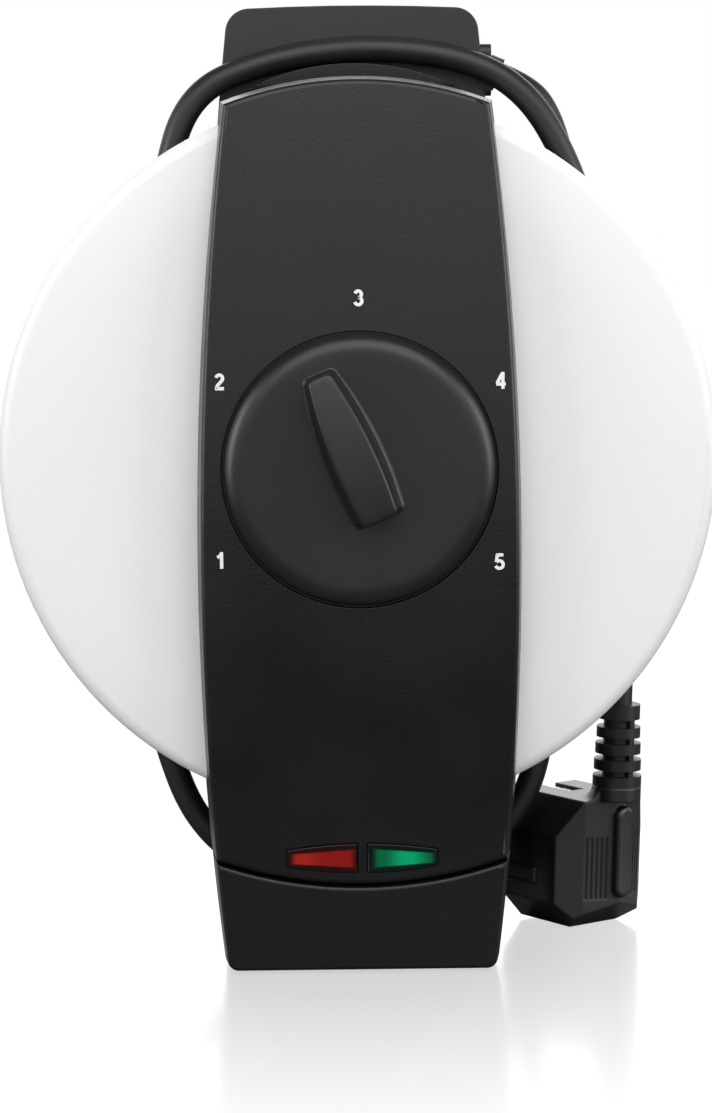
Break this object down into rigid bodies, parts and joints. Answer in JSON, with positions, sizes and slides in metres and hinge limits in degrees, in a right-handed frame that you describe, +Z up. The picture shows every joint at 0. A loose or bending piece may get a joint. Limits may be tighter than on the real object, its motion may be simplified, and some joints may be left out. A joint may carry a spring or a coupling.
{
  "type": "stroopwafel iron",
  "caption": "Round syrup-waffle iron with a hinged lid, engraved baking plates, a thermostat knob, two lamps and its mains cord wound on the back.",
  "frame": {"origin": "on the floor under the centre of the object's box, standing on its handle ends", "axes": "+X to the right seen from the lid side, +Y away from the lid towards the back, +Z up"},
  "size_m": [0.2, 0.121, 0.2725],
  "materials": {
    "white_enamel": "satin",
    "black_plastic": "matte",
    "knob_plastic": "satin",
    "foot_rubber": "matte",
    "cord_rubber": "satin",
    "plug_rubber": "satin",
    "contact_brass": "satin",
    "cast_plate": "satin",
    "sheet_steel": "brushed",
    "heater_sheath": "satin",
    "bright_steel": "satin",
    "screw_steel": "satin",
    "black_steel": "satin",
    "pale_ceramic": "matte",
    "red_lens": "gloss",
    "green_lens": "gloss",
    "lamp_glass": "gloss",
    "wire_sleeve": "matte"
  },
  "bodies": {
    "root": {"base_shell": "white_enamel", "base_ring": "sheet_steel", "lower_plate": "cast_plate", "lower_plate_screws": "screw_steel", "lower_heater": "heater_sheath", "lower_heat_shield": "sheet_steel", "base_spacers": "bright_steel", "base_handle": "black_plastic", "base_handle_plate": "black_plastic", "base_hinge": "black_steel", "hinge_pin": "black_steel", "upper_post": "black_plastic", "lower_post": "black_plastic", "cord_bridge": "black_plastic", "bridge_cover": "black_plastic", "rubber_feet": "foot_rubber", "base_handle_screws": "screw_steel", "base_tail_screws": "screw_steel", "bridge_screws": "screw_steel", "base_shell_screws": "screw_steel", "cover_screws": "screw_steel", "cord_gland": "cord_rubber", "inner_lead": "cord_rubber", "cord_clamp": "pale_ceramic", "terminal_block": "pale_ceramic", "base_wiring": "wire_sleeve", "plate_connector": "pale_ceramic", "power_cord": "cord_rubber", "plug_body": "plug_rubber", "plug_relief": "cord_rubber", "plug_contacts": "contact_brass", "plug_earth_clips": "contact_brass"},
    "lid": {"lid_shell": "white_enamel", "lid_ring": "sheet_steel", "upper_plate": "cast_plate", "upper_plate_screws": "screw_steel", "upper_heater": "heater_sheath", "upper_heat_shield": "sheet_steel", "lid_spacers": "bright_steel", "lid_band": "black_plastic", "lid_handle": "black_plastic", "lid_handle_plate": "black_plastic", "lid_screws": "screw_steel", "lid_hinge_screws": "screw_steel", "lid_tail_screws": "screw_steel", "lid_handle_screws": "screw_steel", "thermostat_bracket": "sheet_steel", "thermostat": "pale_ceramic", "thermal_fuse": "pale_ceramic", "red_lens": "red_lens", "green_lens": "green_lens", "lamp_holder": "pale_ceramic", "indicator_lamps": "lamp_glass", "lid_wiring": "wire_sleeve", "lid_hinge": "black_steel"},
    "knob_body": {"knob": "knob_plastic", "knob_spindle": "bright_steel", "knob_clip": "bright_steel"}
  },
  "joints": [
    {"name": "lid_hinge", "type": "hinge", "parent": "root", "child": "lid", "pos_m": [0, -0.00185, 0.244], "axis": [-1, 0, 0], "range_deg": [0, 95]},
    {"name": "knob_turn", "type": "hinge", "parent": "lid", "child": "knob_body", "pos_m": [0, -0.03385, 0.143], "axis": [0, 1, 0], "range_deg": [-99.5, 145.5]}
  ]
}
